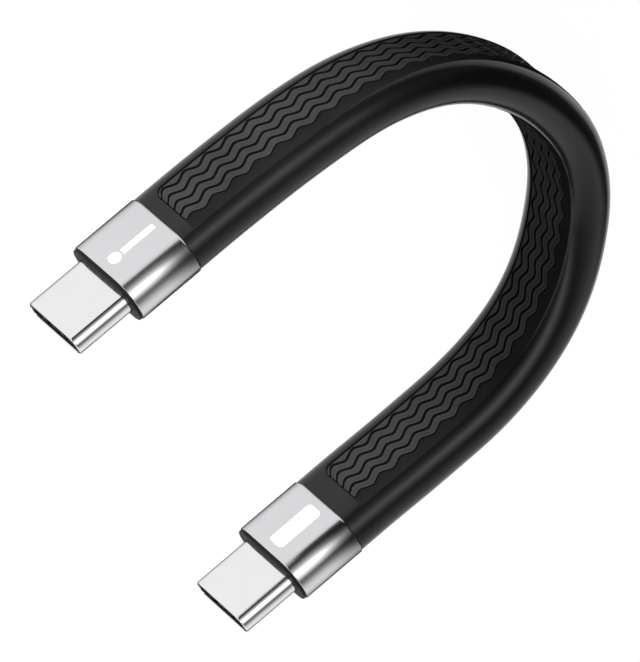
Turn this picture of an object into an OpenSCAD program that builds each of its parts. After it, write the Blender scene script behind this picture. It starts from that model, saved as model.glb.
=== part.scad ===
// Short strap charging cable with an oval reversible plug at each end.
// The strap is bent into a U and stands on its rounded side edge. The two
// plugs point along -Y, the bend is at +Y and the width of the strap is Z.
// Origin: on the resting surface, midway between the two connectors.

/* [Plug] */
// Width of the plug shell
plug_w = 8.25; // [8.15:0.05:8.35]
// Thickness of the plug shell
plug_t = 2.4; // [2.3:0.05:2.5]
// Wall thickness of the plug shell
shell_wall = 0.28; // [0.2:0.02:0.3]
// Length of plug that stands out of the connector
plug_out = 6.35; // [6:0.05:6.6]
// Radius round the mouth of the plug shell
mouth_r = 0.2; // [0.1:0.05:0.25]
// Height of the slot that takes the socket's tongue
slot_t = 0.86; // [0.8:0.02:0.9]
// Width of that slot
slot_w = 7; // [6.8:0.1:7]
// Distance between neighbouring contacts
contact_pitch = 0.5; // [0.45:0.01:0.5]
// Contacts in a row
contact_count = 12; // [4:2:12]

/* [Connector] */
// Width of the metal collar
collar_w = 10.6; // [10.4:0.1:12]
// Thickness of the metal collar
collar_t = 5.2; // [5:0.1:6]
// Wall thickness of the collar
collar_wall = 0.4; // [0.3:0.05:0.4]
// Length of the connector from the plug's tip to the back of the collar
connector_len = 13.8; // [13.6:0.1:15]
// Bevel round the front edge of the collar
front_bevel = 0.12; // [0.05:0.01:0.15]
// Chamfer round the back edge of the collar
back_chamfer = 0.15; // [0.05:0.01:0.2]
// How far the black nose plate stands out of the collar
nose_lip = 0.3; // [0.1:0.05:0.3]

/* [Strap] */
// Width of the strap
strap_w = 10.5; // [10:0.1:10.5]
// Thickness of the strap
strap_t = 4.8; // [4.5:0.1:5]
// Width of the flexible circuit in the strap
flex_w = 8; // [6:0.5:8]
// Thickness of the flexible circuit
flex_t = 0.4; // [0.3:0.1:0.5]
// Distance between the centrelines of the two legs
leg_gap = 44.4; // [44:0.1:45]

/* [Printed marks] */
// Length of the blank badge
badge_len = 5.2; // [4:0.1:6]
// Width of the blank badge
badge_w = 1.9; // [1:0.1:2]
// Thickness of the printed ink
ink = 0.05; // [0.03:0.01:0.1]

/* [Hidden] */
$fn = 48;
eps = 0.01;
SIDES = ["a", "b"];
EACH_END = ["plug_shell", "contact_housing", "contacts_top", "contacts_bottom",
            "latch_left", "latch_right", "ground_springs", "paddle_card",
            "card_capacitors", "shield_can_top", "shield_can_bottom",
            "inner_mold", "nose_plate", "collar", "printed_mark",
            "strap_jacket", "flex_circuit"];

// Connector stations along the cable, from the plug's tip towards the strap
tip = -connector_len / 2;
nose_front = tip + plug_out;
collar_front = nose_front + nose_lip;
collar_back = connector_len / 2;
nose_back = 0.45;
shell_back = 2.4;
slot_end = -0.9;
housing_front = tip + 0.35;
housing_back = 2;
can_front = 0.9;
can_back = 4.5;
card_front = 2.1;
card_back = 4.4;
mold_back = 5.1;

// Sections
bore_w = collar_w - 2 * collar_wall;
bore_t = collar_t - 2 * collar_wall;
shell_in_w = plug_w - 2 * shell_wall;
shell_in_t = plug_t - 2 * shell_wall;
collar_span = collar_w - collar_t;
plug_span = plug_w - plug_t;
strap_z = collar_w / 2;

// Contacts, latches and springs
contact_w = 0.25;
contact_t = 0.12;
groove_w = 0.33;
groove_depth = 0.66;
groove_front = -5.8;
card_t = 0.8;
row_x = card_t / 2;
latch_pivot = [0, 3.44, -0.2];
latch_arm_w = 0.2;
latch_t = 0.3;
latch_tip = -5.6;
latch_window = 0.4;
root_r = 0.2;
root_gap = 0.04;
spring_w = 5.4;
spring_t = 0.1;
finger_w = 0.7;
finger_pitch = 1.4;
can_w = 8.7;
can_t = 2.8;
can_wall = 0.15;
mark_y = -0.5;
mark_z = (collar_front + collar_back) / 2;

// Centreline of the strap in XY, from the back of collar a to the back of collar b
route = [[-22.2, 6.9], [-22.2, 11.1], [-22.1, 15.3], [-21.9, 19.5], [-21.5, 23.7],
         [-20.8, 27.9], [-19.5, 31.9], [-17.5, 35.6], [-14.8, 38.8], [-11.5, 41.4],
         [-7.8, 43.4], [-3.8, 44.7], [0.4, 45.3], [4.5, 44.9], [8.5, 43.6],
         [12.2, 41.5], [15.5, 38.9], [18.3, 35.7], [20.3, 32.1], [21.6, 28],
         [22.2, 23.8], [22.3, 19.6], [22.3, 15.4], [22.2, 11.1], [22.2, 6.9]];
// Lean of the strap at each of those points, in degrees, top edge towards the inside
lean = [0, 0, 0, 0, 0, -2.5, -5, -6.5, -6, -4.5, -2.5, -1, 0,
        1, 2, 2.5, 3.5, 4.5, 4, 2, 0, 0, 0, 0, 0];
last = len(route) - 1;
apex = last / 2;
arc_steps = 8;

// ---- shared shapes ----------------------------------------------------------

// Flat oval outline, t thick along X and w wide along Y
module oblong(w, t) {
  square([t, w - t], center = true);
  for (s = [-1, 1]) translate([0, s * (w - t) / 2]) circle(d = t);
}

// Straight oval bar between two stations
module oblong_bar(w, t, from, to) {
  translate([0, 0, from]) linear_extrude(to - from) oblong(w, t);
}

// Oval ring whose wall has the given [distance from the core, station] outline
module oblong_ring(wall, span) {
  for (s = [0, 1]) mirror([0, s, 0]) translate([0, span / 2, 0])
    rotate_extrude(angle = 180) polygon(wall);
  for (s = [0, 1]) mirror([s, 0, 0]) rotate([90, 0, 0])
    linear_extrude(span, center = true) polygon(wall);
}

// Box from its lowest and highest corners
module block(low, high) {
  translate(low) cube(high - low);
}

// Connector frame: X thickness, Y width, Z along the cable towards the strap
module place(side) {
  translate([side == "a" ? -leg_gap / 2 : leg_gap / 2, 0, strap_z]) rotate([-90, 0, 0])
    children();
}

module each_contact() {
  for (i = [0 : contact_count - 1])
    translate([0, (i - (contact_count - 1) / 2) * contact_pitch, 0]) children();
}

module each_finger() {
  for (i = [-1.5 : 1.5]) translate([0, i * finger_pitch, 0]) children();
}

// ---- plug -------------------------------------------------------------------

module plug_shell() {
  r = plug_t / 2;
  mouth = [for (a = [0 : 22.5 : 90])
           [r - mouth_r + mouth_r * sin(a), tip + mouth_r - mouth_r * cos(a)]];
  color([0.88, 0.88, 0.9])
    oblong_ring(concat([[r - shell_wall, tip]], mouth,
                       [[r, shell_back], [r - shell_wall, shell_back]]), plug_span);
}

module contact_housing() {
  side = slot_w / 2 - 0.2;
  color([0.1, 0.1, 0.11]) difference() {
    oblong_bar(shell_in_w, shell_in_t, housing_front, housing_back);
    block([-slot_t / 2, -slot_w / 2, housing_front - eps], [slot_t / 2, slot_w / 2, slot_end]);
    for (m = [0, 1]) mirror([m, 0, 0]) {
      each_contact() {
        block([0, -groove_w / 2, groove_front], [groove_depth, groove_w / 2, slot_end]);
        block([row_x, -contact_w / 2, slot_end - eps],
              [row_x + contact_t, contact_w / 2, housing_back + eps]);
      }
      block([shell_in_t / 2 - spring_t - 0.02, -spring_w / 2 - 0.05, -6.2],
            [shell_in_t / 2 + eps, spring_w / 2 + 0.05, -3.7]);
      each_finger() block([row_x - 0.1, -finger_w / 2 - 0.05, housing_front - eps],
                          [shell_in_t / 2 + eps, finger_w / 2 + 0.05, -6]);
    }
    for (m = [0, 1]) mirror([0, m, 0]) {
      block([-latch_window / 2, side, -6], [latch_window / 2, shell_in_w / 2 + eps, latch_pivot.z]);
      translate(latch_pivot) rotate([0, 90, 0])
        cylinder(r = root_r + root_gap, h = latch_window, center = true);
    }
  }
}

// One contact: a soldered tail, a press-fit base and a sprung beam with a bump
module contact() {
  base = row_x + contact_t;
  outline = [[row_x, 3.2], [base, 3.2], [base, slot_end], [0.39, -4.7], [0.5, -5.5],
             [0.38, -5.5], [0.27, -4.7], [row_x, slot_end]];
  rotate([90, 0, 0]) linear_extrude(contact_w, center = true) polygon(outline);
}

module contacts_bottom() {
  color([0.85, 0.68, 0.3]) each_contact() contact();
}

module contacts_top() {
  color([0.85, 0.68, 0.3]) mirror([1, 0, 0]) each_contact() contact();
}

// Sprung side arm that hooks into the notch in the socket's tongue
module latch() {
  inner = latch_pivot.y - latch_arm_w / 2;
  outer = latch_pivot.y + latch_arm_w / 2;
  hook = inner - 0.27;
  outline = [[outer, latch_pivot.z], [outer, latch_tip], [inner, latch_tip], [hook, -5.3],
             [hook, -5.05], [inner, -4.8], [inner, latch_pivot.z]];
  color([0.75, 0.75, 0.78]) {
    rotate([90, 0, 90]) linear_extrude(latch_t, center = true) polygon(outline);
    translate(latch_pivot) rotate([0, 90, 0]) cylinder(r = root_r, h = latch_t, center = true);
  }
}

module ground_springs() {
  outer = shell_in_t / 2;
  color([0.75, 0.75, 0.78]) for (m = [0, 1]) mirror([m, 0, 0]) {
    block([outer - spring_t, -spring_w / 2, -6.15], [outer, spring_w / 2, -3.8]);
    each_finger() block([row_x - 0.05, -finger_w / 2, -6.25], [outer, finger_w / 2, -6.15]);
  }
}

// ---- inside the collar ------------------------------------------------------

module paddle_card() {
  color([0.1, 0.35, 0.2])
    block([-card_t / 2, -3.5, card_front], [card_t / 2, 3.5, card_back]);
}

module controller_chip() {
  color([0.15, 0.15, 0.16]) block([-row_x - 0.45, -1.2, 3.3], [-row_x, 1.2, 4.3]);
}

module card_capacitors() {
  color([0.6, 0.5, 0.38]) for (y = [-2.3, -0.9, 0.9, 2.3]) translate([row_x, y, 3.7])
    block([0, -0.5, -0.25], [0.35, 0.5, 0.25]);
}

// Half of the sheet-metal can that closes over the card and the back of the shell
module shield_can() {
  color([0.8, 0.8, 0.82]) difference() {
    block([eps, -can_w / 2, can_front], [can_t / 2, can_w / 2, can_back]);
    block([0, can_wall - can_w / 2, can_front - eps],
          [can_t / 2 - can_wall, can_w / 2 - can_wall, can_back + eps]);
  }
}

module inner_mold() {
  color([0.75, 0.76, 0.72]) difference() {
    oblong_bar(bore_w, bore_t, nose_back, mold_back);
    oblong_bar(plug_w, plug_t, nose_back - eps, can_front + eps);
    block([-can_t / 2, -can_w / 2, can_front], [can_t / 2, can_w / 2, can_back]);
    oblong_bar(flex_w, flex_t, can_back - eps, mold_back + eps);
  }
}

module nose_plate() {
  edge = 0.08;
  lip_w = collar_w - 0.2;
  lip_t = collar_t - 0.2;
  r = lip_t / 2;
  core = 0.5;
  wall = [[core, nose_front], [r - edge, nose_front], [r, nose_front + edge],
          [r, collar_front], [bore_t / 2, collar_front], [bore_t / 2, nose_back],
          [core, nose_back]];
  color([0.09, 0.09, 0.1]) difference() {
    oblong_ring(wall, lip_w - lip_t);
    oblong_bar(plug_w, plug_t, nose_front - eps, nose_back + eps);
  }
}

module collar() {
  r = collar_t / 2;
  wall = [[bore_t / 2, collar_front], [r - front_bevel, collar_front],
          [r, collar_front + front_bevel], [r, collar_back - back_chamfer],
          [r - back_chamfer, collar_back], [bore_t / 2, collar_back]];
  color([0.8, 0.8, 0.82]) oblong_ring(wall, collar_span);
}

// Ink on the collar's face: side a has a dot and a bar, side b a blank badge
module printed_mark(side) {
  color("white") translate([-collar_t / 2 - ink, mark_y, mark_z]) rotate([0, 90, 0])
    linear_extrude(ink) {
      if (side == "a") {
        translate([2, 0]) circle(d = 1.3);
        translate([-0.8, 0]) square([3.8, 0.6], center = true);
      } else {
        square([badge_len, badge_w - 0.8], center = true);
        square([badge_len - 0.8, badge_w], center = true);
        for (x = [-1, 1], y = [-1, 1])
          translate([x * (badge_len / 2 - 0.4), y * (badge_w / 2 - 0.4)]) circle(r = 0.4);
      }
    }
}

// ---- strap ------------------------------------------------------------------

// Flat oval loop of [offset across the bend, height] points
function loop(w, t) = [for (s = [-1, 1], i = [0 : arc_steps])
  let (a = s * 90 - 90 + 180 * i / arc_steps)
  [t / 2 * cos(a), s * (w - t) / 2 + t / 2 * sin(a)]];

// Direction of the route at point i, straight out of the collars at both ends
function heading(i) = i == 0 ? [0, 1] : i == last ? [0, -1] :
  let (d = route[i + 1] - route[i - 1]) d / norm(d);

// Loop of points across the strap at a place p with the heading h, leaning by a degrees
function ring(p, h, w, t, a = 0) = [for (q = loop(w, t))
  let (off = q[0] * cos(a) + q[1] * sin(a))
  [p.x + h.y * off, p.y - h.x * off, strap_z + q[1] * cos(a) - q[0] * sin(a)]];

// Rings of one half of the strap, from the inside of its collar to the apex
function inside(side, y, w, t) =
  ring([side == "a" ? -leg_gap / 2 : leg_gap / 2, y], [0, 1], w, t);
function half(side, w, t) = [for (k = [0 : apex])
  let (i = side == "a" ? k : last - k, turn = side == "a" ? 1 : -1)
  ring(route[i], turn * heading(i), w, t, turn * lean[i])];

// Two triangles between points i and j of ring a and the same points of ring b
function band(a, b, i, j) = [[a + i, a + j, b + j], [a + i, b + j, b + i]];
function flipped(faces) = [for (f = faces) [f[2], f[1], f[0]]];

// Tube through the outer rings, with a channel through the inner rings
module tube(outer, inner) {
  n = len(outer[0]);
  m = len(outer);
  hole = n * m;
  walls = [for (k = [0 : m - 2], i = [0 : n - 1]) let (j = (i + 1) % n)
    each concat(flipped(band(n * k, n * k + n, i, j)),
                band(hole + n * k, hole + n * k + n, i, j))];
  ends = [for (i = [0 : n - 1]) let (j = (i + 1) % n)
    each concat(band(0, hole, i, j), band(hole + n * (m - 1), n * (m - 1), i, j))];
  polyhedron([for (r = concat(outer, inner)) each r], concat(walls, ends), convexity = 6);
}

// Solid bar through the rings
module bar(rings) {
  n = len(rings[0]);
  m = len(rings);
  walls = [for (k = [0 : m - 2], i = [0 : n - 1]) let (j = (i + 1) % n)
    each flipped(band(n * k, n * k + n, i, j))];
  ends = [[for (i = [0 : n - 1]) i], [for (i = [n - 1 : -1 : 0]) n * (m - 1) + i]];
  polyhedron([for (r = rings) each r], concat(walls, ends), convexity = 6);
}

module strap_jacket(side) {
  color([0.13, 0.13, 0.14])
    tube(concat([inside(side, mold_back, bore_w, bore_t), inside(side, collar_back, bore_w, bore_t)],
                half(side, strap_w, strap_t)),
         concat([inside(side, mold_back, flex_w, flex_t), inside(side, collar_back, flex_w, flex_t)],
                half(side, flex_w, flex_t)));
}

module flex_circuit(side) {
  color([0.75, 0.45, 0.1])
    bar(concat([inside(side, card_back, flex_w, flex_t)], half(side, flex_w, flex_t)));
}

// ---- nodes ------------------------------------------------------------------

for (side = SIDES) {
  place(side) plug_shell();
  place(side) contact_housing();
  place(side) contacts_top();
  place(side) contacts_bottom();
  place(side) latch();
  place(side) mirror([0, 1, 0]) latch();
  place(side) ground_springs();
  place(side) paddle_card();
  place(side) card_capacitors();
  place(side) mirror([1, 0, 0]) shield_can();
  place(side) shield_can();
  place(side) inner_mold();
  place(side) nose_plate();
  place(side) collar();
  place(side) printed_mark(side);
  strap_jacket(side);
  flex_circuit(side);
}
place("a") controller_chip();  // controller_chip_a
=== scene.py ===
"""Short strap charging cable: the looks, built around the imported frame."""
import math

import bpy
import numpy as np
from mathutils import Matrix, Vector


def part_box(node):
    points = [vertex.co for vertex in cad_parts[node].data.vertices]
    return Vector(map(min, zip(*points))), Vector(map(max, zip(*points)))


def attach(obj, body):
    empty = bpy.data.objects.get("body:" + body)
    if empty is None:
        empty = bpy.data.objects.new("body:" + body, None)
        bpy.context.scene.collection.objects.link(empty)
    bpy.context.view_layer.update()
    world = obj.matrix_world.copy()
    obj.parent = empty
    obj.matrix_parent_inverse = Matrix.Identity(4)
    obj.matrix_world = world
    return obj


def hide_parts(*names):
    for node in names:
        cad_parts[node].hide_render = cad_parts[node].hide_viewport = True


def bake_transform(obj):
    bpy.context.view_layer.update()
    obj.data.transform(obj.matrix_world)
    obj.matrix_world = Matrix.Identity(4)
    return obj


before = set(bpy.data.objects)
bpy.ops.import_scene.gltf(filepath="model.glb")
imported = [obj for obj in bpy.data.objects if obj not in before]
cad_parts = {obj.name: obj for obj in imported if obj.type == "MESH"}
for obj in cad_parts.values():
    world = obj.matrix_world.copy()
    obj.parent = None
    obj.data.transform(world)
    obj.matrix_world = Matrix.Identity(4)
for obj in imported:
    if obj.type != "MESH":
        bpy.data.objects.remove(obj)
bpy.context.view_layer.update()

MM = 0.001
SIDES = ("a", "b")

# Centreline of the strap in XY, in metres, from the back of collar a to that of collar b
ROUTE = [
    (-0.0222, 0.0069), (-0.0222, 0.0111), (-0.0221, 0.0153), (-0.0219, 0.0195),
    (-0.0215, 0.0237), (-0.0208, 0.0279), (-0.0195, 0.0319), (-0.0175, 0.0356),
    (-0.0148, 0.0388), (-0.0115, 0.0414), (-0.0078, 0.0434), (-0.0038, 0.0447),
    (0.0004, 0.0453), (0.0045, 0.0449), (0.0085, 0.0436), (0.0122, 0.0415),
    (0.0155, 0.0389), (0.0183, 0.0357), (0.0203, 0.0321), (0.0216, 0.028),
    (0.0222, 0.0238), (0.0223, 0.0196), (0.0223, 0.0154), (0.0222, 0.0111),
    (0.0222, 0.0069),
]

# Lean of the strap at each of those points, in degrees, positive where its top edge leans inwards
LEAN = [0, 0, 0, 0, 0, -2.5, -5, -6.5, -6, -4.5, -2.5, -1, 0,
        1, 2, 2.5, 3.5, 4.5, 4, 2, 0, 0, 0, 0, 0]

# Boxes read from the frame, and the collars' wall
COLLAR = {side: [Vector(c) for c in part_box(f"collar_{side}")] for side in SIDES}
SHELL = {side: [Vector(c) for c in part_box(f"plug_shell_{side}")] for side in SIDES}
NOSE = {side: [Vector(c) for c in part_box(f"nose_plate_{side}")] for side in SIDES}
AXIS_Z = (COLLAR["a"][0].z + COLLAR["a"][1].z) / 2
COLLAR_BACK = COLLAR["a"][1].y
COLLAR_WALL = 0.4 * MM

# Strap and the flexible circuit inside it
STRAP_W = 10.5 * MM
STRAP_T = 4.8 * MM
ROOT_W = 9.8 * MM
ROOT_T = 4.4 * MM
ROOT_Y = 5.1 * MM
RIBBON_W = 8 * MM
RIBBON_T = 0.4 * MM
RIBBON_Y = 4.4 * MM

# Wave panel on both broad faces. Places across a face are heights from the strap's middle.
PANEL_GAP = {"a": 1.5 * MM, "b": 2.3 * MM}        # plain strap between a collar and the panel
WAVE_LENGTH = 2.6 * MM
WAVE_SWING = 0.29 * MM
WAVE_SHARPNESS = 0.72                             # 0 is a sine, 1 a zigzag
FIRST_CREST = {"a": 2.25 * MM, "b": 2.35 * MM}    # from that end of the panel
FIRST_GROOVE = -2.35 * MM
GROOVE_STEP = 1.19 * MM
GROOVES = 5
GROOVE_TOP = 0.18 * MM                            # half width of a groove at its top
GROOVE_FOOT = 0.11 * MM                           # and at its floor
GROOVE_DEPTH = 0.42 * MM
RIB_DEPTH = 0.12 * MM
LIP_DEPTH = 0.03 * MM                             # eased edge; the end grooves cross only lines below it
WALL = -3.05 * MM                                 # straight side of the panel
WALL_LINES = ((-0.05 * MM, 0), (0, 0.02 * MM), (0.03 * MM, GROOVE_DEPTH),
              (0.14 * MM, GROOVE_DEPTH), (0.18 * MM, RIB_DEPTH))
LAST_LINES = ((0.05 * MM, GROOVE_DEPTH), (0.12 * MM, LIP_DEPTH), (0.17 * MM, 0))
CREASE_DEPTH = 0.1 * MM
CREASE_LINES = ((-0.12 * MM, 0), (-0.04 * MM, CREASE_DEPTH), (0.04 * MM, CREASE_DEPTH), (0.12 * MM, 0))
CREST = FIRST_GROOVE + (GROOVES - 1) * GROOVE_STEP + WAVE_SWING + 0.2 * MM    # top of the wavy side
CORNERS = ((1.0 * MM, 1.6 * MM),                  # the panel's rounding at -Z, along the strap and across
           (0.5 * MM, 0.9 * MM))                  # and at +Z
LAND = 3.75 * MM                                  # outer limit of the matt land above the panel

# Mesh of the strap
RING_STEP = 0.14 * MM
END_RINGS = (0, 0.04 * MM, 0.13 * MM, 0.19 * MM)  # rings across the groove at a panel's end
EDGE_RINGS = ((0, 0.035 * MM), (0.035 * MM, 0.01 * MM))    # (place, inset) at the strap's eased ends
PLAIN_START = 0.12 * MM
PLAIN_RINGS = 9
SIDE_STEPS = 7                                    # columns from a face's lines round to the strap's edge
LAND_STEPS = 2                                    # those of them that are on the land
LEAST_STEP = 0.004 * MM                           # smallest gap between two lines of a face
ROUND_OFF = 0.001 * MM


# ---- camera -------------------------------------------------------------------

def camera():
    """Long lens from above the outer face of leg a, rolled as in the photo."""
    aim = Vector((0.0013, 0.0151, AXIS_Z))
    towards = Vector((0.7229, 0.1773, -0.6678)).normalized()
    right = Vector((0.3386, 0.7516, 0.5660))
    right = (right - right.dot(towards) * towards).normalized()
    up = right.cross(towards)
    data = bpy.data.cameras.new("camera")
    data.lens = 460
    data.sensor_width = 36
    data.clip_start, data.clip_end = 0.05, 100
    distance = 0.8014
    cam = bpy.data.objects.new("camera", data)
    bpy.context.collection.objects.link(cam)
    turn = Matrix((right, up, -towards)).transposed().to_4x4()
    cam.matrix_world = Matrix.Translation(aim - towards * distance) @ turn
    bpy.context.scene.camera = cam


# ---- mesh helpers ---------------------------------------------------------------

def add_mesh(name, verts, faces, smooth_deg=35):
    """New object from lists of points and faces, smooth but for its sharp edges."""
    mesh = bpy.data.meshes.new(name)
    mesh.from_pydata([tuple(v) for v in verts], [], faces)
    mesh.validate()
    mesh.polygons.foreach_set("use_smooth", [True] * len(mesh.polygons))
    mesh.set_sharp_from_angle(angle=math.radians(smooth_deg))
    mesh.update()
    obj = bpy.data.objects.new(name, mesh)
    bpy.context.collection.objects.link(obj)
    return obj


def oval_points(across, along, steps=28):
    """(x, z) points round a flat oval with those half sizes."""
    points = []
    for sign in (1, -1):
        for i in range(steps + 1):
            a = math.pi * i / steps
            points.append((sign * across * math.cos(a),
                           sign * (along - across + across * math.sin(a))))
    return points


def oval_ring(name, centre, outline):
    """Closed oval ring; outline lists the (half thickness, half width, y) round its wall."""
    verts = []
    for across, along, y in outline:
        verts += [(centre.x + x, y, centre.z + z) for x, z in oval_points(across, along)]
    n = len(oval_points(1, 1))
    faces = []
    for k in range(len(outline)):
        a, b = k * n, (k + 1) % len(outline) * n
        faces += [(a + i, a + (i + 1) % n, b + (i + 1) % n, b + i) for i in range(n)]
    return add_mesh(name, verts, faces)


def arc(inset, y, radius, start, end, steps=5):
    """(distance in from the outside, y) points on an arc, angles in degrees."""
    angles = [math.radians(start + (end - start) * i / steps) for i in range(steps + 1)]
    return [(inset - radius * math.cos(a), y + radius * math.sin(a)) for a in angles]


def wall(box, insets):
    """Outline for oval_ring from (distance in from the outside, y) points."""
    half_t, half_w = (box[1].x - box[0].x) / 2, (box[1].z - box[0].z) / 2
    return [(half_t - inset, half_w - inset, y) for inset, y in insets]


# ---- connectors ------------------------------------------------------------------

def middle(box):
    return (box[0] + box[1]) / 2


def plug_half(side):
    """Half the thickness and half the width of a plug."""
    size = SHELL[side][1] - SHELL[side][0]
    return size.x / 2, size.z / 2


def satin_collar(side):
    """Metal sleeve, rounded in front and chamfered behind."""
    low, high = COLLAR[side]
    bevel, chamfer, ease = 0.12 * MM, 0.15 * MM, 0.03 * MM
    insets = [(COLLAR_WALL, low.y), (bevel, low.y)] + arc(bevel, low.y + bevel, bevel, -90, 0)
    insets += [(0, high.y - chamfer - ease), (ease / 2, high.y - chamfer)]
    insets += [(chamfer, high.y), (COLLAR_WALL, high.y)]
    return oval_ring(f"satin_collar_{side}", middle(COLLAR[side]), wall(COLLAR[side], insets))


def polished_plug(side):
    """Drawn shell of the plug, with a rolled mouth."""
    low, high = SHELL[side]
    thick, rim, lip = 0.28 * MM, 0.2 * MM, 0.05 * MM
    insets = [(thick, low.y + lip)] + arc(thick - lip, low.y + lip, lip, -180, -90, 3)
    insets += arc(rim, low.y + rim, rim, -90, 0, 8) + [(0, high.y), (thick, high.y)]
    return oval_ring(f"polished_plug_{side}", middle(SHELL[side]), wall(SHELL[side], insets))


def nose_cap(side):
    """Black front plate: it stands out from the collar, fills its bore and fits round the plug."""
    low, high = NOSE[side]
    edge = 0.08 * MM
    seat = COLLAR[side][0].y
    hole = [(*plug_half(side), y) for y in (low.y, high.y)]
    bore = wall(COLLAR[side], [(COLLAR_WALL, seat), (COLLAR_WALL, high.y)])
    front = wall(NOSE[side], arc(edge, low.y + edge, edge, -90, 0, 4) + [(0, seat)])
    return oval_ring(f"nose_cap_{side}", middle(NOSE[side]), [hole[0], *front, *bore, hole[1]])


# ---- strap -----------------------------------------------------------------------

def smooth_line(points, step):
    """Cubic spline through the points, straight along Y at both ends, then evened out."""
    p = np.array(points)
    n = len(p)
    t = np.concatenate([[0], np.cumsum(np.linalg.norm(np.diff(p, axis=0), axis=1))])
    h = np.diff(t)
    rows = np.eye(n)
    rhs = np.zeros((n, 2))
    rhs[0], rhs[-1] = (0, 1), (0, -1)
    for i in range(1, n - 1):
        rows[i, i - 1:i + 2] = 1 / h[i - 1], 2 * (1 / h[i - 1] + 1 / h[i]), 1 / h[i]
        rhs[i] = 3 * ((p[i] - p[i - 1]) / h[i - 1] ** 2 + (p[i + 1] - p[i]) / h[i] ** 2)
    slope = np.linalg.solve(rows, rhs)
    fine = np.arange(0, t[-1], step / 4)
    k = np.clip(np.searchsorted(t, fine, side="right") - 1, 0, n - 2)
    u = ((fine - t[k]) / h[k])[:, None]
    hk = h[k][:, None]
    line = ((1 + 2 * u) * (1 - u) ** 2 * p[k] + u * (1 - u) ** 2 * hk * slope[k]
            + u * u * (3 - 2 * u) * p[k + 1] + u * u * (u - 1) * hk * slope[k + 1])
    line = np.vstack([line, p[-1]])
    length = np.concatenate([[0], np.cumsum(np.linalg.norm(np.diff(line, axis=0), axis=1))])
    return length, line


def stations(total):
    """Distances along the strap where it has a ring: close in the panel, sparse outside."""
    start, end = PANEL_GAP["a"], total - PANEL_GAP["b"]
    edge = np.array([place for place, _ in EDGE_RINGS])
    groove = np.array(END_RINGS)
    near = np.concatenate([edge, np.linspace(PLAIN_START, start, PLAIN_RINGS)[:-1], start + groove])
    far = np.concatenate([end - groove[::-1], np.linspace(end, total - PLAIN_START, PLAIN_RINGS)[1:],
                          total - edge[::-1]])
    count = int((far[0] - near[-1]) / RING_STEP)
    return np.concatenate([near, np.linspace(near[-1], far[0], count + 1)[1:-1], far])


def face_lines():
    """(place across the face, 1 if it follows the wave, depth) of each line along it."""
    lines = [(WALL + off, 0, depth) for off, depth in WALL_LINES]
    for k in range(GROOVES):
        g = FIRST_GROOVE + k * GROOVE_STEP
        lines += [(g - GROOVE_TOP, 1, RIB_DEPTH), (g - GROOVE_FOOT, 1, GROOVE_DEPTH)]
        if k < GROOVES - 1:
            rib = g + GROOVE_STEP / 2
            lines += [(g + GROOVE_FOOT, 1, GROOVE_DEPTH), (g + GROOVE_TOP, 1, RIB_DEPTH)]
            lines += [(rib + off, 1, RIB_DEPTH + depth) for off, depth in CREASE_LINES]
        else:
            lines += [(g + off, 1, depth) for off, depth in LAST_LINES]
    return np.array(lines)


def wave(distance, side):
    """Rounded zigzag from -1 to 1, by the distance from that side's end of the panel."""
    turn = 2 * math.pi * (distance - FIRST_CREST[side]) / WAVE_LENGTH
    return np.arcsin(WAVE_SHARPNESS * np.cos(turn)) / math.asin(WAVE_SHARPNESS)


def rounding(inside, length, height):
    """How far a corner with those half axes draws a panel's side in, at each ring."""
    return height * (1 - np.sqrt(1 - np.clip(1 - inside / length, 0, 1) ** 2))[:, None]


def face_points(inside, distance, side):
    """(place across, depth) of each point on one broad face, from the -Z edge to the +Z edge.

    inside is each ring's distance into the panel from its nearer end, and is negative outside it.
    """
    lines = face_lines()
    low_in, high_in = (rounding(inside, *corner) for corner in CORNERS)
    q = lines[:, 0] + WAVE_SWING * wave(distance, side)[:, None] * lines[:, 1]
    q = WALL + low_in + (q - WALL) * (1 - (low_in + high_in) / (CREST - WALL))
    least = LEAST_STEP * np.arange(len(lines))
    q = np.maximum.accumulate(q - least, axis=1) + least

    end_groove = np.interp(inside, END_RINGS, (0, GROOVE_DEPTH, GROOVE_DEPTH, 0))[:, None]
    body = np.clip(inside / END_RINGS[1], 0, 1)[:, None]
    depth = np.maximum(lines[:, 2] * body, end_groove * (lines[:, 2] > LIP_DEPTH))

    rings = len(inside)
    edge = (STRAP_W - STRAP_T) / 2 + math.pi * STRAP_T / 4
    below = -edge + (q[:, :1] + edge) * np.linspace(0, 1, SIDE_STEPS + 2)[:-1]
    land = q[:, -1:] + (LAND - q[:, -1:]) * np.linspace(0, 1, LAND_STEPS + 1)[1:]
    above = np.tile(np.linspace(LAND, edge, SIDE_STEPS - LAND_STEPS + 2)[1:], (rings, 1))
    plain = np.zeros((rings, SIDE_STEPS + 1))
    return np.hstack([below, q, land, above]), np.hstack([plain, depth, plain])


def on_section(q, depth):
    """(distance across the bend, height) at q along one side's outline, that deep below it."""
    flat = (STRAP_W - STRAP_T) / 2
    turn = np.clip(np.abs(q) - flat, 0, None) / (STRAP_T / 2)
    r = STRAP_T / 2 - depth
    return r * np.cos(turn), np.sign(q) * (np.minimum(np.abs(q), flat) + r * np.sin(turn))


def at(s, length, values):
    """The values at the distances s, from their values at the distances in length."""
    return np.stack([np.interp(s, length, values[:, k]) for k in range(values.shape[1])], axis=1)


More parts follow.
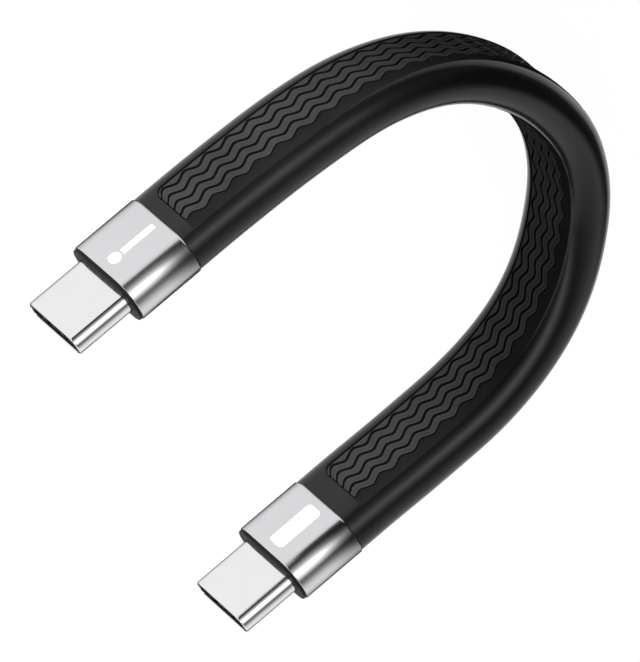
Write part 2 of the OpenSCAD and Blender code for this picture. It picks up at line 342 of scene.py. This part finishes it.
def strap():
    """Silicone strap with its grooves as geometry, and its roots inside the collars."""
    length, line = smooth_line(ROUTE, RING_STEP)
    total = length[-1]
    s = stations(total)
    span = 0.6 * MM
    heading = at(s + span, length, line) - at(s - span, length, line)
    heading[s < span], heading[s > total - span] = (0, 1), (0, -1)
    heading /= np.linalg.norm(heading, axis=1)[:, None]
    turned = np.unwrap(np.arctan2(heading[:, 0], heading[:, 1]))
    inside = np.minimum(s - PANEL_GAP["a"], total - PANEL_GAP["b"] - s)

    outer = s + STRAP_T / 2 * turned - PANEL_GAP["a"]
    inner = total - s - STRAP_T / 2 * (math.pi - turned) - PANEL_GAP["b"]
    u_out, v_out = on_section(*face_points(inside, outer, "a"))
    u_in, v_in = on_section(*face_points(inside, inner, "b"))
    across = np.hstack([-u_out, u_in[:, -2:0:-1]])
    height = np.hstack([v_out, v_in[:, -2:0:-1]])
    for k, (_, inset) in enumerate(EDGE_RINGS):
        for ring in (k, -1 - k):
            across[ring] *= 1 - inset / (STRAP_T / 2)
            height[ring] *= 1 - inset / (STRAP_W / 2)

    knots = np.linspace(0, total, len(LEAN))
    lean = np.radians(np.interp(s, knots, LEAN))
    reach = 20
    even = np.ones(2 * reach + 1) / (2 * reach + 1)
    lean = np.convolve(np.pad(lean, reach, mode="edge"), even, "valid")[:, None]
    off = across * np.cos(lean) + height * np.sin(lean)
    up = height * np.cos(lean) - across * np.sin(lean)
    centre = at(s, length, line)[:, None, :]
    normal = np.stack([heading[:, 1], -heading[:, 0]], axis=1)[:, None, :]
    body = np.concatenate([centre + off[:, :, None] * normal, AXIS_Z + up[:, :, None]], axis=2)
    rings = np.concatenate([roots(body[0], ROUTE[0]), body, roots(body[-1], ROUTE[-1])[::-1]])

    m, n = rings.shape[:2]
    faces = [(k * n + i, (k + 1) * n + i, (k + 1) * n + (i + 1) % n, k * n + (i + 1) % n)
             for k in range(m - 1) for i in range(n)]
    faces += [tuple(range(n)), tuple(range(m * n - 1, (m - 1) * n - 1, -1))]
    obj = add_mesh("strap", rings.reshape(-1, 3), faces, 50)
    obj.data.materials.append(silicone("silicone", 0.0028, 0.0036, 0.23, 0.3))
    obj.data.materials.append(silicone("silicone_panel", 0.019, 0.024, 0.7, 0))
    obj.data.materials.append(silicone("silicone_land", 0.0065, 0.008, 0.7, 0))
    obj.data.polygons.foreach_set("material_index", panel_faces(inside, n))
    path = [(x, y, AXIS_Z) for x, y in at(np.linspace(0, total, 60), length, line)]
    return obj, total, path


def panel_faces(inside, n):
    """For each face of the strap, 1 on the ribs of a panel, 2 on the land above it and 0 elsewhere."""
    rings = np.concatenate([[-1, -1], inside, [-1, -1]]) > -ROUND_OFF
    depth = face_lines()[:, 2]
    rib = depth < GROOVE_DEPTH
    rib[:2] = rib[-1] = False    # these lines are outside the panel
    first = SIDE_STEPS + 1
    land = first + len(depth) - 1
    columns = np.zeros(n, int)
    columns[first:land] = rib[:-1] & rib[1:]
    columns[land:land + LAND_STEPS] = 2
    columns = np.maximum(columns, columns[::-1])
    faces = (rings[:-1] & rings[1:])[:, None] * columns
    return [*faces.ravel().tolist(), 0, 0]


def roots(ring, centre):
    """The strap's thinner root inside the collar, as two rings."""
    out = []
    for y in (ROOT_Y, COLLAR_BACK):
        x = centre[0] + (ring[:, 0] - centre[0]) * ROOT_T / STRAP_T
        z = AXIS_Z + (ring[:, 2] - AXIS_Z) * ROOT_W / STRAP_W
        out.append(np.stack([x, np.full(len(x), y), z], axis=1))
    return np.array(out)


def ribbon():
    """Flexible circuit that runs through the strap."""
    length, line = smooth_line(ROUTE, MM)
    line = np.vstack([[line[0][0], RIBBON_Y], line, [line[-1][0], RIBBON_Y]])
    lean = np.radians(np.interp(np.linspace(0, len(LEAN) - 1, len(line)), range(len(LEAN)), LEAN))
    heading = np.gradient(line, axis=0)
    heading[:2], heading[-2:] = (0, 1), (0, -1)
    heading /= np.linalg.norm(heading, axis=1)[:, None]
    verts = []
    for (x, y), (hx, hy), a in zip(line, heading, lean):
        for i, j in ((-1, -1), (1, -1), (1, 1), (-1, 1)):
            u, v = i * RIBBON_T / 2, j * RIBBON_W / 2
            off = u * math.cos(a) + v * math.sin(a)
            verts.append((x + hy * off, y - hx * off, AXIS_Z + v * math.cos(a) - u * math.sin(a)))
    faces = [(4 * k + i, 4 * k + 4 + i, 4 * k + 4 + (i + 1) % 4, 4 * k + (i + 1) % 4)
             for k in range(len(line) - 1) for i in range(4)]
    faces += [(0, 1, 2, 3), tuple(len(verts) - 1 - i for i in range(4))]
    return add_mesh("flex_ribbon", verts, faces)


# ---- materials ---------------------------------------------------------------------

def material(name, colour, rough, metal=0.0):
    mat = bpy.data.materials.new(name)
    mat.use_nodes = True
    shader = mat.node_tree.nodes["Principled BSDF"]
    shader.inputs["Base Color"].default_value = (*colour, 1)
    shader.inputs["Roughness"].default_value = rough
    shader.inputs["Metallic"].default_value = metal
    return mat, mat.node_tree, shader


def noise(tree, scale, detail=3.0, stretch=(1, 1, 1)):
    """Noise in object space, stretched along the axes."""
    place = tree.nodes.new("ShaderNodeTexCoord")
    fit = tree.nodes.new("ShaderNodeMapping")
    fit.inputs["Scale"].default_value = stretch
    tex = tree.nodes.new("ShaderNodeTexNoise")
    tex.inputs["Scale"].default_value = scale
    tex.inputs["Detail"].default_value = detail
    tree.links.new(place.outputs["Object"], fit.inputs["Vector"])
    tree.links.new(fit.outputs["Vector"], tex.inputs["Vector"])
    return tex.outputs["Fac"]


def fit_range(tree, value, start, end, low, high):
    """The value from start to end mapped to low to high, and held there outside it."""
    node = tree.nodes.new("ShaderNodeMapRange")
    for name, number in (("From Min", start), ("From Max", end), ("To Min", low), ("To Max", high)):
        node.inputs[name].default_value = number
    tree.links.new(value, node.inputs["Value"])
    return node.outputs["Result"]


def spread(tree, value, low, high):
    """Noise, which is nearly all from 0.3 to 0.7, spread from low to high."""
    return fit_range(tree, value, 0.3, 0.7, low, high)


def tint(tree, shader, value, dark, light):
    """Base colour mixed from dark to light by the value."""
    mix = tree.nodes.new("ShaderNodeMix")
    mix.data_type = "RGBA"
    mix.inputs["A"].default_value = (*dark, 1)
    mix.inputs["B"].default_value = (*light, 1)
    tree.links.new(value, mix.inputs["Factor"])
    tree.links.new(mix.outputs["Result"], shader.inputs["Base Color"])


def bump(tree, shader, value, distance, strength=1.0):
    node = tree.nodes.new("ShaderNodeBump")
    node.inputs["Distance"].default_value = distance
    node.inputs["Strength"].default_value = strength
    tree.links.new(value, node.inputs["Height"])
    tree.links.new(node.outputs["Normal"], shader.inputs["Normal"])


def silicone(name, dark, light, rough, gloss):
    """Moulded silicone, faintly cloudy from one grey to the other, with a fine grain."""
    mat, tree, shader = material(name, [light] * 3, rough)
    shader.inputs["Specular IOR Level"].default_value = gloss
    tint(tree, shader, spread(tree, noise(tree, 180, 4), 0, 1), [dark] * 3, [light] * 3)
    grain = noise(tree, 9000, 2)
    tree.links.new(spread(tree, grain, rough - 0.05, rough + 0.06), shader.inputs["Roughness"])
    bump(tree, shader, grain, 0.003 * MM, 0.4)
    return mat


def brushed(name, colour, rough, stretch, scale=900):
    """Metal with fine drawn lines along one axis, darker at flat angles."""
    mat, tree, shader = material(name, colour, rough, 1.0)
    shader.inputs["Specular Tint"].default_value = (0, 0, 0, 1)
    lines = noise(tree, scale, 2, stretch)
    tree.links.new(spread(tree, lines, rough - 0.03, rough + 0.04), shader.inputs["Roughness"])
    tint(tree, shader, spread(tree, noise(tree, 300, 3), 0, 1), [c * 0.97 for c in colour], colour)
    bump(tree, shader, lines, 0.0006 * MM, 0.5)
    return mat


def plain(name, colour, rough, metal=0.0, gloss=0.5, grain=4000, vary=0.12):
    """Moulded or printed surface with a fine grain and a faint change of tone."""
    mat, tree, shader = material(name, colour, rough, metal)
    shader.inputs["Specular IOR Level"].default_value = gloss
    tint(tree, shader, spread(tree, noise(tree, 500, 3), 0, 1), [c * (1 - vary) for c in colour], colour)
    fine = noise(tree, grain, 2)
    tree.links.new(spread(tree, fine, rough - 0.05, rough + 0.05), shader.inputs["Roughness"])
    bump(tree, shader, fine, 0.002 * MM, 0.4)
    return mat


def paint_node(node, mat):
    """Gives a CAD node its material."""
    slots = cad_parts[node].material_slots
    for place in slots:
        place.material = mat
    if not slots:
        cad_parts[node].data.materials.append(mat)


# ---- light and floor ------------------------------------------------------------------

# Brightness of the sky by the angle from the -X horizon, over the top, to the +X horizon.
# Its dark strip above -X and the bright one above that are what the metal mirrors.
SKY = 2.6
SKY_BANDS = [(0, 0.005), (11, 0.01), (21, 0.08), (32, 0.22), (42, 0.5), (49, 1.0), (58, 1.0), (66, 0.55),
             (75, 0.33), (85, 0.05), (98, 0.08), (111, 0.2), (124, 0.31), (140, 0.39), (157, 0.41),
             (180, 0.38)]
BEHIND_START, BEHIND_END = 0.25, 0.5    # the sky dims towards +Y, between these Y of the direction
BEHIND_SHARE = 0.06
UNDER_MID, UNDER_HALF = -0.026, 0.025   # band of Z just under the horizon that is white like the floor

FLOOR_SIZE = 60
FLOOR_GREY = 0.05
FLOOR_GLOW = 0.97

KEY_PLACE = (-0.85, 0.15, 0.5)
KEY_AIM = (-0.008, -0.004, 0)
KEY_POWER = 115
KEY_BEAM = 5.1                          # degrees, so narrow that it has faded out at the bend
KEY_SOFT_EDGE = 0.7
KEY_RADIUS = 0.008


def pale_floor():
    """Pale matt floor that glows a little."""
    bpy.ops.mesh.primitive_plane_add(size=FLOOR_SIZE)
    floor = bpy.context.object
    floor.name = "floor"
    mat, tree, shader = material("floor", [FLOOR_GREY] * 3, 1.0)
    shader.inputs["Specular IOR Level"].default_value = 0.0
    shader.inputs["Emission Color"].default_value = (1, 1, 1, 1)
    shader.inputs["Emission Strength"].default_value = FLOOR_GLOW
    floor.data.materials.append(mat)


def maths(tree, operation, *values):
    """Maths node; each value is a number or a socket."""
    node = tree.nodes.new("ShaderNodeMath")
    node.operation = operation
    for socket, value in zip(node.inputs, values):
        if isinstance(value, (int, float)):
            socket.default_value = value
        else:
            tree.links.new(value, socket)
    return node.outputs["Value"]


def soft_sky():
    """Studio sky in soft bands along Y, dim towards +Y, and white past the far end of the floor."""
    world = bpy.data.worlds.new("studio")
    bpy.context.scene.world = world
    world.use_nodes = True
    tree = world.node_tree
    place = tree.nodes.new("ShaderNodeTexCoord")
    parts = tree.nodes.new("ShaderNodeSeparateXYZ")
    tree.links.new(place.outputs["Generated"], parts.inputs["Vector"])
    x, y, z = (parts.outputs[axis] for axis in "XYZ")

    angle = maths(tree, "ARCTAN2", z, maths(tree, "MULTIPLY", x, -1))
    ramp = tree.nodes.new("ShaderNodeValToRGB")
    tree.links.new(fit_range(tree, angle, 0, math.pi, 0, 1), ramp.inputs["Fac"])
    stops = ramp.color_ramp.elements
    stops.remove(stops[0])
    for i, (degrees, grey) in enumerate(SKY_BANDS):
        stop = stops[0] if i == 0 else stops.new(degrees / 180)
        stop.position = degrees / 180
        stop.color = (grey, grey, grey, 1)

    shade = tree.nodes.new("ShaderNodeVectorMath")
    shade.operation = "MULTIPLY"
    tree.links.new(ramp.outputs["Color"], shade.inputs[0])
    tree.links.new(fit_range(tree, y, BEHIND_START, BEHIND_END, SKY, BEHIND_SHARE * SKY), shade.inputs[1])

    far_floor = tree.nodes.new("ShaderNodeMix")
    far_floor.data_type = "RGBA"
    far_floor.inputs["B"].default_value = (1, 1, 1, 1)
    tree.links.new(maths(tree, "COMPARE", z, UNDER_MID, UNDER_HALF), far_floor.inputs["Factor"])
    tree.links.new(shade.outputs["Vector"], far_floor.inputs["A"])
    tree.links.new(far_floor.outputs["Result"], tree.nodes["Background"].inputs["Color"])


def key_light():
    """Narrow soft-edged key from above leg a's outer side, not mirrored in the metal."""
    key = bpy.data.lights.new("key", "SPOT")
    key.energy = KEY_POWER
    key.shadow_soft_size = KEY_RADIUS
    key.spot_size, key.spot_blend = math.radians(KEY_BEAM), KEY_SOFT_EDGE
    lamp = bpy.data.objects.new("key", key)
    lamp.location = KEY_PLACE
    lamp.rotation_euler = (Vector(KEY_AIM) - lamp.location).to_track_quat("-Z", "Y").to_euler()
    lamp.visible_glossy = False
    bpy.context.collection.objects.link(lamp)


# ---- the object -------------------------------------------------------------------------

def build():
    camera()
    body, total, path = strap()
    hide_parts("strap_jacket_a", "strap_jacket_b")
    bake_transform(body)

    core = ribbon()
    core.data.materials.append(plain("flex_film", (0.45, 0.2, 0.04), 0.4))
    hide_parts("flex_circuit_a", "flex_circuit_b")
    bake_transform(core)

    satin = brushed("collar_metal", (0.665, 0.665, 0.68), 0.2, (1, 0.04, 1))
    nickel = brushed("plug_steel", (0.79, 0.79, 0.795), 0.1, (1, 0.05, 1), 1500)
    dark = plain("nose_plastic", (0.004, 0.004, 0.004), 0.6, gloss=0.15)
    looks = {
        "contact_housing": plain("contact_plastic", (0.006, 0.006, 0.006), 0.6, gloss=0.2),
        "contacts_top": plain("contact_gold", (0.83, 0.62, 0.24), 0.22, 1.0),
        # Steel of the latches and ground springs. Its colour is darkened well below bare steel as painted
        # shade for the dark inside of the plug's mouth.
        "latch_left": plain("spring_steel", (0.3, 0.3, 0.31), 0.4, 1.0),
        "paddle_card": plain("card", (0.02, 0.16, 0.07), 0.4),
        "card_capacitors": plain("capacitor", (0.42, 0.33, 0.22), 0.5),
        "shield_can_top": plain("shield_steel", (0.75, 0.75, 0.77), 0.3, 1.0),
        "inner_mold": plain("mold_plastic", (0.6, 0.6, 0.57), 0.55),
        "printed_mark": plain("ink", (0.95, 0.95, 0.95), 0.5),
    }
    looks["contacts_bottom"] = looks["contacts_top"]
    looks["latch_right"] = looks["ground_springs"] = looks["latch_left"]
    looks["shield_can_bottom"] = looks["shield_can_top"]
    for side in SIDES:
        for build_piece, node, slot, mat in ((satin_collar, "collar", "collar_metal", satin),
                                             (polished_plug, "plug_shell", "plug_steel", nickel),
                                             (nose_cap, "nose_plate", "nose_plastic", dark)):
            piece = build_piece(side)
            piece.data.materials.append(mat)
            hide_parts(f"{node}_{side}")
            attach(piece, f"connector_{side}")
        for node, mat in looks.items():
            paint_node(f"{node}_{side}", mat)
    paint_node("controller_chip_a", plain("chip", (0.03, 0.03, 0.03), 0.4))
    pale_floor()
    soft_sky()
    key_light()
    bpy.context.scene.view_settings.view_transform = "Standard"


build()
